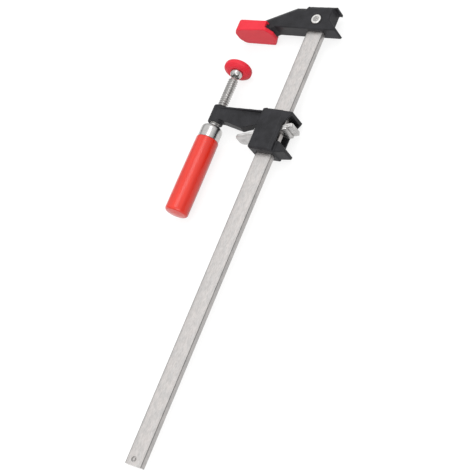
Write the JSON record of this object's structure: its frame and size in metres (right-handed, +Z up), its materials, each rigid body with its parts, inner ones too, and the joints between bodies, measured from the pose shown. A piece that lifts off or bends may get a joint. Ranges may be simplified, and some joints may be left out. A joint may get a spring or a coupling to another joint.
{
  "type": "quick release bar clamp",
  "caption": "Bar clamp: a flat steel bar with a riveted fixed jaw, and a sliding arm that a plate clutch holds, with a screw, a swivel pad and a turned handle.",
  "frame": {"origin": "middle of the fixed jaw's clamping face, on the screw's axis", "axes": "+X from the screw's axis towards the bar, +Y along the bar towards the fixed jaw, +Z up, square to the bar's flat faces: the clamp lies on its side"},
  "size_m": [0.1178, 0.4966, 0.0305],
  "materials": {
    "bar_steel": "satin, drawn lengthwise",
    "casting": "satin dark grey paint",
    "rivet_steel": "bright",
    "pad_red": "soft satin",
    "plate_steel": "bright zinc",
    "spring_steel": "bright",
    "screw_steel": "bright",
    "ferrule_steel": "polished",
    "handle_red": "gloss"
  },
  "bodies": {
    "bar": {"bar": "bar_steel", "fixed_jaw": "casting", "jaw_rivet": "rivet_steel", "jaw_pad": "pad_red"},
    "arm": {"sliding_arm": "casting", "clutch_spring": "spring_steel"},
    "clutch": {"upper_clutch_plate": "plate_steel", "middle_clutch_plate": "plate_steel", "release_plate": "plate_steel"},
    "swivel_ring": {"retaining_ring": "spring_steel"},
    "screw": {"spindle": "screw_steel", "ferrule": "ferrule_steel", "handle": "handle_red"},
    "pad": {"pad_socket": "screw_steel", "swivel_pad": "pad_red"}
  },
  "joints": [
    {"name": "arm_slide", "type": "slide", "parent": "bar", "child": "arm", "axis": [0, 1, 0], "range_m": [-0.32, 0.03]},
    {"name": "clutch_release", "type": "hinge", "parent": "arm", "child": "clutch", "pos_m": [0.07303, -0.1053, 0], "axis": [0, 0, -1], "range_deg": [0, 10], "stiffness_Nm_per_rad": 0.35, "springref_deg": -8.59, "deforming": ["clutch_spring"]},
    {"name": "screw_travel", "type": "slide", "parent": "arm", "child": "swivel_ring", "axis": [0, 1, 0], "range_m": [-0.0324, 0.0033]},
    {"name": "spindle_turn", "type": "hinge", "parent": "swivel_ring", "child": "screw", "pos_m": [0, -0.0448, 0], "axis": [0, 1, 0], "range_deg": [-4640, 480]},
    {"name": "pad_tilt", "type": "hinge", "parent": "swivel_ring", "child": "pad", "pos_m": [0, -0.0448, 0], "axis": [-0.7861, 0, 0.6181], "range_deg": [-24, 0]}
  ],
  "couplings": [
    {"joint": "spindle_turn", "follows": "screw_travel", "rad_per_m": 2473.7}
  ]
}
